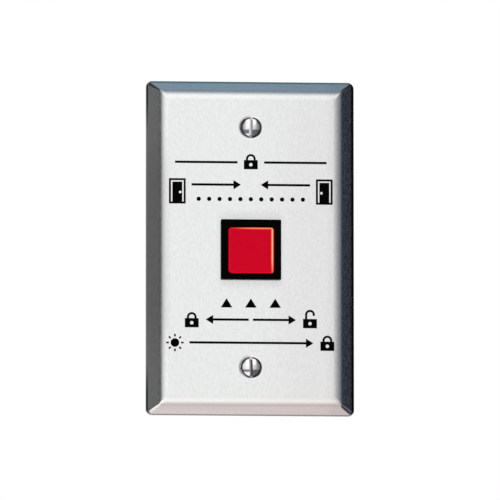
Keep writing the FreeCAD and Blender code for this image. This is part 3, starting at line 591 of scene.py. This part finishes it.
LOOKS = {
    "stainless_plate": finish(
        "stainless_plate",
        plate_colour,
        0.2,
        1.0,
        grain=(1700, 1700, 800),
        vary=0.10,
        anisotropic=0.4,
    ),
    "polished_steel": finish("polished_steel", screw_colour, 0.10, 1.0, bump=0.000004),
    "black_plastic": finish(
        "black_plastic", (0.0009, 0.0009, 0.0009), 0.35, specular=0.015, bump=0.000004
    ),
    "base_plastic": finish(
        "base_plastic", (0.03, 0.03, 0.032), 0.5, grain=(1500,) * 3, bump=0.00001
    ),
    "red_lens": finish(
        "red_lens",
        lens_colour,
        0.25,
        grain=(300,) * 3,
        vary=0.04,
        specular=0.03,
        glow=lens_painted_glow,
    ),
    "white_plastic": finish("white_plastic", (0.85, 0.85, 0.83), 0.5, bump=0.000006),
    "carrier_plastic": finish(
        "carrier_plastic", (0.80, 0.78, 0.70), 0.45, vary=0.05, bump=0.000006
    ),
    "spring_steel": finish(
        "spring_steel", (0.62, 0.62, 0.62), 0.28, 1.0, grain=(3000, 300, 3000), vary=0.05
    ),
    "copper_alloy": finish("copper_alloy", (0.80, 0.50, 0.33), 0.28, 1.0, grain=(2500, 300, 2500)),
    "tinned_brass": finish("tinned_brass", (0.76, 0.74, 0.68), 0.35, 1.0, grain=(3000, 300, 3000)),
    "silver": finish("silver", (0.86, 0.85, 0.82), 0.25, 1.0, grain=(3000,) * 3),
    "lamp_glass": finish("lamp_glass", (0.96, 0.97, 0.97), 0.03, vary=0.01),
    "lamp_brass": finish("lamp_brass", (0.78, 0.62, 0.34), 0.25, 1.0, grain=(1500, 4000, 1500)),
    "lamp_ceramic": finish("lamp_ceramic", (0.12, 0.12, 0.13), 0.3, bump=0.00001),
    "lamp_wire": finish("lamp_wire", (0.55, 0.55, 0.56), 0.3, 1.0, grain=(6000, 900, 6000)),
    "solder": finish("solder", (0.70, 0.70, 0.70), 0.4, 1.0, grain=(2000,) * 3, bump=0.00002),
}
for_glass = LOOKS["lamp_glass"].node_tree.nodes["Principled BSDF"].inputs
for_glass["Transmission Weight"].default_value = 1.0
for_glass["IOR"].default_value = 1.5
INK = finish("ink", (0.001, 0.001, 0.001), 0.55, specular=0.02, grain=(4000,) * 3, bump=0.000003)

for row in frame["record"]["subparts"]:
    node = nodes[row["node"]]
    node.data.materials.clear()
    node.data.materials.append(LOOKS[row["material_slot"]])


# Mesh building

CORNER_STEPS = 8
PROFILE_STEPS = 14
MOUTH_STEPS = 10
HEAD_RIM_STEPS = 8
DOME_STEPS = 12
LENS_STEPS = 12
THREAD_STEPS = 8
TURN_SEGMENTS = 72
SCREW_SEGMENTS = 48
# Edges that turn by more degrees than this stay sharp.
SHARPEST_SMOOTH_EDGE = 32
# A vertex this far before and after each corner keeps the shading of the sides flat, and a
# narrow ring beside each rounding does so for the face.
CORNER_EASE = 0.15
FLAT_EDGE = 0.05


def ring(made, half_w, half_h, radius, side_front, end_front=None, z=0.0, steps=CORNER_STEPS):
    """A rounded rectangle of vertices; its sides and ends may stand at different heights."""
    end_front = side_front if end_front is None else end_front
    placed = []
    for corner in range(4):
        sign_x = 1 if corner in (0, 3) else -1
        sign_z = 1 if corner in (0, 1) else -1
        on_arc = [(step, 0.0) for step in range(steps + 1)]
        for step, beside in [(0, -CORNER_EASE), *on_arc, (steps, CORNER_EASE)]:
            a = math.pi / 2 * (corner + step / steps)
            front = side_front * math.cos(a) ** 2 + end_front * math.sin(a) ** 2
            across = sign_x * (half_w - radius) + radius * math.cos(a) - beside * math.sin(a)
            up = z + sign_z * (half_h - radius) + radius * math.sin(a) + beside * math.cos(a)
            placed.append(made.verts.new(place(across, front, up)))
    return placed


def turned(made, points, z, segments=TURN_SEGMENTS, limit=None):
    """Rings of vertices about an axis that points to the front, from (radius, front) points.

    The limit is a function of the angle and the front that gives the largest radius there.
    """
    rings = []
    for radius, front in points:
        placed = []
        for step in range(segments):
            a = 2 * math.pi * step / segments
            r = min(radius, limit(a, front)) if limit else radius
            placed.append(made.verts.new(place(r * math.cos(a), front, z + r * math.sin(a))))
        rings.append(placed)
    return rings


def skin(made, rings):
    """Faces between each ring and the next."""
    for first, second in zip(rings, rings[1:]):
        count = len(first)
        for i in range(count):
            j = (i + 1) % count
            made.faces.new((first[i], first[j], second[j], second[i]))


def fill(made, loops):
    """A flat face inside the first loop and outside the others."""
    edges = []
    for loop in loops:
        for i, vertex in enumerate(loop):
            edges.append(made.edges.get((vertex, loop[(i + 1) % len(loop)])))
    bmesh.ops.triangle_fill(made, edges=edges, use_beauty=True)


def to_object(name, made):
    """Turn a bmesh into an object of the scene."""
    mesh = bpy.data.meshes.new(name)
    made.to_mesh(mesh)
    made.free()
    thing = bpy.data.objects.new(name, mesh)
    bpy.context.scene.collection.objects.link(thing)
    return thing


def add_piece(name, made, look, body, replaced=()):
    """Turn a bmesh into an object with smooth faces and sharp edges, riding on a body."""
    bmesh.ops.recalc_face_normals(made, faces=made.faces)
    for face in made.faces:
        face.smooth = True
    for edge in made.edges:
        if edge.calc_face_angle(0.0) > math.radians(SHARPEST_SMOOTH_EDGE):
            edge.smooth = False
    thing = to_object(name, made)
    thing.data.materials.append(look)
    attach(thing, body)
    if replaced:
        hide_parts(*replaced)
    return thing


# Faceplate


def plate_profile(run, lip, face, rim_radius, crease_radius):
    """(inset, front) points up the lip, over the rim, up the bevel and onto the face."""
    slope = math.atan2(face - lip, run)
    rim_turn = math.pi / 2 - slope
    rim_start = lip - rim_radius * math.tan(rim_turn / 2)
    crease_end = run + crease_radius * math.tan(slope / 2)
    points = [(0.0, 0.0)]
    for step in range(PROFILE_STEPS + 1):
        a = rim_turn * step / PROFILE_STEPS
        points.append((rim_radius * (1 - math.cos(a)), rim_start + rim_radius * math.sin(a)))
    for step in range(PROFILE_STEPS + 1):
        a = slope * (1 - step / PROFILE_STEPS)
        below_face = crease_radius * (1 - math.cos(a))
        points.append((crease_end - crease_radius * math.sin(a), face - below_face))
    points.append((crease_end + FLAT_EDGE, face))
    return points


def plate_shell(made, inset, side, end, thinner):
    """The rings of one side of the sheet. Its corners are tighter away from the rim."""
    rings = []
    for (side_in, side_front), (end_in, end_front) in zip(side, end):
        corner = FACE_CORNER + RIM_CORNER_EXTRA * math.exp(-side_in / CORNER_FADE)
        radius = max(corner - thinner, SMALLEST_CORNER)
        half_w = plate["width"] / 2 - inset - side_in
        half_h = plate["height"] / 2 - inset - end_in
        rings.append(ring(made, half_w, half_h, radius, side_front, end_front))
    skin(made, rings)
    return rings


def dimple_profile():
    """(radius, front) points from the face over the mouth, through the hole, to the back."""
    hole = SCREW_RADIUS + SCREW_HOLE_GAP
    mouth = HEAD_RADIUS + COUNTERSINK_GAP
    face = plate["front"]
    turn = math.atan(1 / HEAD_SLOPE)
    middle = mouth + DIMPLE_ROUND * math.tan(turn / 2)
    points = [(middle + FLAT_EDGE, face)]
    for step in range(MOUTH_STEPS + 1):
        a = turn * step / MOUTH_STEPS
        below_face = DIMPLE_ROUND * (1 - math.cos(a))
        points.append((middle - DIMPLE_ROUND * math.sin(a), face - below_face))
    seat = face - (mouth - hole) / HEAD_SLOPE
    back = seat - DIMPLE_LAND
    foot = hole + SHEET
    points += [(hole, seat), (hole, back), (foot, back)]
    points.append((foot + HEAD_SLOPE * (face - SHEET - back), face - SHEET))
    return points


def add_faceplate():
    """The stamped sheet, with its cutout and a dimple for each screw."""
    made = bmesh.new()
    face = plate["front"]
    outer_side = plate_profile(SIDE_BEVEL, LIP, face, RIM_RADIUS, CREASE_RADIUS)
    outer_end = plate_profile(END_BEVEL, LIP, face, RIM_RADIUS, CREASE_RADIUS)
    outer = plate_shell(made, 0.0, outer_side, outer_end, 0.0)
    inner_profiles = []
    for run in (SIDE_BEVEL, END_BEVEL):
        slope = math.atan2(face - LIP, run)
        lip = LIP - SHEET * math.tan((math.pi / 2 - slope) / 2)
        inner_run = run + SHEET * math.tan(slope / 2) - SHEET
        inner_profiles.append(
            plate_profile(inner_run, lip, face - SHEET, RIM_RADIUS - SHEET, CREASE_RADIUS - SHEET)
        )
    inner = plate_shell(made, SHEET, *inner_profiles, BACK_CORNER_CUT)
    skin(made, [outer[0], inner[0]])
    half = CUTOUT / 2
    levels = (face, face - SHEET)
    cutout = [ring(made, half, half, CUTOUT_CORNER, level, z=switch_z) for level in levels]
    skin(made, cutout)
    dimples = []
    for z in (SCREW_Z, -SCREW_Z):
        rings = turned(made, dimple_profile(), z)
        skin(made, rings)
        dimples.append(rings)
    fill(made, [outer[-1], cutout[0]] + [rings[0] for rings in dimples])
    fill(made, [inner[-1], cutout[1]] + [rings[-1] for rings in dimples])
    add_piece(
        "plate_skin", made, LOOKS["stainless_plate"], "station", ["faceplate"]
    )


# Screws


def thread(angle, front):
    """The radius, by place, of a right-handed thread as wide over its crests as the screw."""
    turn = (front / THREAD_PITCH + angle / (2 * math.pi)) % 1.0
    flank = abs(turn - 0.5) * 2
    depth = min(max((flank - THREAD_FLAT) / (1 - 2 * THREAD_FLAT), 0.0), 1.0)
    return SCREW_RADIUS - THREAD_DEPTH * depth


def screw_rings(made, z):
    """The rings of one screw, from its point over the thread and the neck to its domed head."""
    tip = screws["rear"]
    thread_end = plate["front"] - THREAD_BELOW_FACE
    steps = round((thread_end - tip) / THREAD_PITCH * THREAD_STEPS)
    points = []
    for step in range(steps + 1):
        front = tip + (thread_end - tip) * step / steps
        point_radius = SCREW_RADIUS - SCREW_POINT + (front - tip)
        points.append((min(SCREW_RADIUS, point_radius), front))
    rings = turned(made, points, z, SCREW_SEGMENTS, limit=thread)
    under_head = plate["front"] - HEAD_RECESS - (HEAD_RADIUS - SCREW_RADIUS) / HEAD_SLOPE
    neck_start = thread_end + FLAT_EDGE
    head = [(NECK_RADIUS, neck_start), (NECK_RADIUS, under_head), (SCREW_RADIUS, under_head)]
    rim_radius = HEAD_RADIUS - HEAD_RIM_ROUND
    rim_front = plate["front"] - HEAD_RIM_DROP
    low, high = -math.atan(HEAD_SLOPE), math.radians(HEAD_RIM_TURN)
    for step in range(HEAD_RIM_STEPS + 1):
        a = low + (high - low) * step / HEAD_RIM_STEPS
        out, up = HEAD_RIM_ROUND * math.cos(a), HEAD_RIM_ROUND * math.sin(a)
        head.append((rim_radius + out, rim_front + up))
    tilt = math.pi / 2 - high
    dome = head[-1][0] / math.sin(tilt)
    middle = head[-1][1] - dome * math.cos(tilt)
    for step in range(1, DOME_STEPS):
        a = tilt * (1 - step / DOME_STEPS)
        head.append((dome * math.sin(a), middle + dome * math.cos(a)))
    rings += turned(made, head, z, SCREW_SEGMENTS)
    return rings


def add_screws():
    """Oval-head machine screws with a cut thread, slots upright."""
    made = bmesh.new()
    cutter = bmesh.new()
    for z, tilt in zip((SCREW_Z, -SCREW_Z), SLOT_TILTS):
        rings = screw_rings(made, z)
        skin(made, rings)
        made.faces.new(rings[0])
        made.faces.new(rings[-1])
        wall = []
        half_w, half_h = SLOT_WIDTH / 2, SLOT_CUTTER_REACH
        for front in (SLOT_CUTTER_TOP, SLOT_FLOOR):
            wall.append(ring(cutter, half_w, half_h, SLOT_CUTTER_CORNER, front, steps=1))
        skin(cutter, wall)
        turn = Matrix.Rotation(math.radians(tilt), 4, "Y")
        for vertex in wall[0] + wall[1]:
            vertex.co = turn @ vertex.co + place(0, 0, z)
        for end in wall:
            cutter.faces.new(end)
    bmesh.ops.recalc_face_normals(made, faces=made.faces)
    bmesh.ops.recalc_face_normals(cutter, faces=cutter.faces)
    blank = to_object("screw_blank", made)
    slot_cutter = to_object("slot_cutter", cutter)
    slotting = blank.modifiers.new("slot", "BOOLEAN")
    slotting.operation = "DIFFERENCE"
    slotting.solver = "EXACT"
    slotting.object = slot_cutter
    depsgraph = bpy.context.evaluated_depsgraph_get()
    slotted = bmesh.new()
    slotted.from_mesh(blank.evaluated_get(depsgraph).data)
    for thing in (blank, slot_cutter):
        bpy.data.objects.remove(thing)
    add_piece(
        "threaded_screws",
        slotted,
        LOOKS["polished_steel"],
        "station",
        ["mounting_screws"],
    )


# Springs

# How much of a turn lies closed at each end, over how much of a turn the spring then opens, and
# the pitch of the closed part in diameters of the wire
CLOSED_TURNS = 0.9
OPENING_TURNS = 0.4
CLOSED_PITCH = 1.04
TURN_STEPS = 36
WIRE_SIDES = 12


def coil(made, radius, wire, rear, front, turns, x=0.0):
    """A compression spring whose end turns lie closed against their seats."""
    count = turns * TURN_STEPS
    weights = []
    for step in range(count):
        s = (step + 0.5) / TURN_STEPS
        edge = min(s, turns - s)
        opened = (edge - CLOSED_TURNS + OPENING_TURNS / 2) / OPENING_TURNS
        weights.append(min(max(opened, 0.0), 1.0))
    closed = wire * CLOSED_PITCH / TURN_STEPS
    free = (front - rear - wire - closed * count) / sum(weights)
    height = rear + wire / 2
    rings = []
    for step in range(count + 1):
        a = 2 * math.pi * step / TURN_STEPS
        outwards = Vector((math.cos(a), 0, math.sin(a)))
        middle = place(x, height, switch_z) + outwards * radius * MM
        placed = []
        for side in range(WIRE_SIDES):
            b = 2 * math.pi * side / WIRE_SIDES
            offset = outwards * math.cos(b) + Vector((0, -1, 0)) * math.sin(b)
            placed.append(made.verts.new(middle + offset * wire / 2 * MM))
        rings.append(placed)
        if step < count:
            height += closed + free * weights[step]
    skin(made, rings)
    made.faces.new(rings[0])
    made.faces.new(rings[-1])


def add_springs():
    """The return spring, with a mesh of its own, and the two small contact springs, which ride on
    the button.
    """
    made = bmesh.new()
    radius = (spring["width"] - RETURN_WIRE) / 2
    coil(made, radius, RETURN_WIRE, spring["rear"], spring["front"], RETURN_TURNS)
    spring_piece = add_piece(
        "wound_return_spring",
        made,
        LOOKS["spring_steel"],
        "station",
        ["return_spring"],
    )
    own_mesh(spring_piece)
    made = bmesh.new()
    radius = (small_springs["height"] - CONTACT_WIRE) / 2
    leg = small_springs["width"] / 2 - small_springs["height"] / 2
    front, rear = small_springs["front"], small_springs["rear"]
    length, turns = LEFT_SPRING
    coil(made, radius, CONTACT_WIRE, front - length, front, turns, x=-leg)
    length, turns = RIGHT_SPRING
    coil(made, radius, CONTACT_WIRE, rear, rear + length, turns, x=leg)
    add_piece(
        "wound_contact_springs",
        made,
        LOOKS["spring_steel"],
        "button",
        ["contact_springs"],
    )


# Lens


def add_lens():
    """A square cap with softly rounded edges, hollow from behind."""
    made = bmesh.new()
    half = lens["width"] / 2
    front, rear, rounding = lens["front"], lens["rear"], LENS_EDGE_ROUND
    rings = [ring(made, half, half, LENS_CORNER, rear, z=switch_z)]
    for step in range(LENS_STEPS + 1):
        a = math.pi / 2 * step / LENS_STEPS
        inset = rounding * (1 - math.cos(a))
        size = half - inset
        corner = LENS_CORNER - inset * LENS_CORNER_TAPER
        level = front - rounding + rounding * math.sin(a)
        rings.append(ring(made, size, size, corner, level, z=switch_z))
    size = half - rounding - LENS_FLAT_EDGE
    rings.append(ring(made, size, size, LENS_FACE_CORNER, front, z=switch_z))
    cavity = []
    for level in (rear, front - LENS_FACE):
        size = half - LENS_WALL
        cavity.append(ring(made, size, size, LENS_CAVITY_CORNER, level, z=switch_z))
    skin(made, rings)
    skin(made, cavity)
    skin(made, [rings[0], cavity[0]])
    made.faces.new(rings[-1])
    made.faces.new(cavity[-1])
    add_piece("lens_cap", made, LOOKS["red_lens"], "button", ["button_lens"])


# Ink marks

# These are plain pictograms in place of the printed lines. Each outline is a list of (x, z)
# points, and a mark is a list of outlines of which all but the first are holes.

STROKE = 0.8
INK_PROUD = 0.03
INK_SUNK = 0.02


def arc(x, z, radius, start=0, stop=345, steps=23):
    angles = [math.radians(start + (stop - start) * step / steps) for step in range(steps + 1)]
    return [(x + radius * math.cos(a), z + radius * math.sin(a)) for a in angles]


def box(x0, x1, z0, z1):
    return [(x0, z0), (x1, z0), (x1, z1), (x0, z1)]


def bar(x0, x1, z):
    return [box(x0, x1, z - STROKE / 2, z + STROKE / 2)]


def arrow(tail, tip, z):
    """A straight arrow from tail to tip along X."""
    neck = tip - math.copysign(2.6, tip - tail)
    low, high = z - STROKE / 2, z + STROKE / 2
    head = [(neck, z - 1.6), (tip, z), (neck, z + 1.6)]
    return [[(tail, low), (neck, low), *head, (neck, high), (tail, high)]]


def triangle(x, z, size):
    return [[(x - size, z - size * 0.8), (x + size, z - size * 0.8), (x, z + size * 0.8)]]


def padlock(x, z, lift=0.0):
    """A padlock, opened by lifting its shackle off one side."""
    body = [box(x - 2.4, x + 2.4, z - 2.6, z + 0.6), arc(x, z - 1.0, 0.6)]
    outer = arc(x, z + 1.0 + lift, 1.7, 180, 0, 12)
    inner = arc(x, z + 1.0 + lift, 0.95, 0, 180, 12)
    held, free = z + 0.55, z + 0.6 + lift
    shackle = [(x - 1.7, held), *outer, (x + 1.7, free), (x + 0.95, free), *inner, (x - 0.95, held)]
    return [body, [shackle]]


def door(x, z, knob):
    """A closed door in its frame, with its knob to the right or, if that is -1, to the left."""
    frame_line = [box(x - 2.9, x + 2.9, z - 4.4, z + 4.4), box(x - 2.2, x + 2.2, z - 3.7, z + 3.7)]
    leaf = [box(x - 1.7, x + 1.7, z - 3.7, z + 3.2), arc(x + knob, z - 0.4, 0.45)]
    return [frame_line, leaf]


def lamp(x, z):
    """A round lamp with eight rays."""
    marks = [[arc(x, z, 1.5)]]
    for step in range(8):
        a = math.pi / 4 * step
        across = Vector((-math.sin(a), math.cos(a))) * 0.3
        outwards = Vector((math.cos(a), math.sin(a)))
        near, far = outwards * 2.1, outwards * 3.0
        middle = Vector((x, z))
        corners = (near - across, far - across, far + across, near + across)
        marks.append([[tuple(middle + corner) for corner in corners]])
    return marks


def ink_marks():
    """The pictograms, at the heights and about the widths of the printed lines."""
    marks = [bar(-26.2, -4.6, 29.4), bar(4.6, 26.2, 29.4)] + padlock(0, 29.6)
    marks += door(-25.4, 19.3, 1) + door(25.4, 19.3, -1)
    marks += [arrow(-20.5, -3.4, 21.6), arrow(20.5, 3.4, 21.6)]
    marks += [[arc(x * 3.6, 16.6, 0.75)] for x in range(-5, 6)]
    marks += [triangle(x, -19.4, 2.0) for x in (-8.4, 0, 8.4)]
    marks += padlock(-20.4, -25.4) + padlock(20.4, -25.4, 1.1)
    marks += [arrow(-0.7, -15.6, -25.2), arrow(0.7, 15.6, -25.2)]
    marks += lamp(-26.2, -33.3) + padlock(26.4, -33.2)
    marks += [arrow(-21.2, 21.6, -33.2)]
    return marks


def add_ink():
    """All the marks as one thin piece, sunk a little into the face of the plate."""
    made = bmesh.new()
    for outlines in ink_marks():
        ends = []
        for front in (plate["front"] - INK_SUNK, plate["front"] + INK_PROUD):
            loops = []
            for points in outlines:
                loops.append([made.verts.new(place(x, front, z)) for x, z in points])
            ends.append(loops)
        for low, high in zip(*ends):
            skin(made, [low, high])
        for loops in ends:
            fill(made, loops)
    add_piece("ink_marks", made, INK, "station")


# Floor, in metres

FLOOR_REACH = 1.2
FLOOR_HEIGHT = -0.7


def add_floor():
    """A pale matt floor well below the object, kept out of the reflections."""
    made = bmesh.new()
    bmesh.ops.create_grid(made, x_segments=2, y_segments=2, size=FLOOR_REACH)
    floor = to_object("floor", made)
    floor.location = (0, 0, FLOOR_HEIGHT)
    paint = finish("floor_paint", (0.87, 0.81, 0.795), 0.9, grain=(30,) * 3, vary=0.03)
    floor.data.materials.append(paint)
    floor.visible_glossy = False


add_camera()
add_world()
add_key_light()
add_floor()
add_faceplate()
add_screws()
add_springs()
add_lens()
add_ink()
bpy.context.scene.view_settings.view_transform = "Standard"
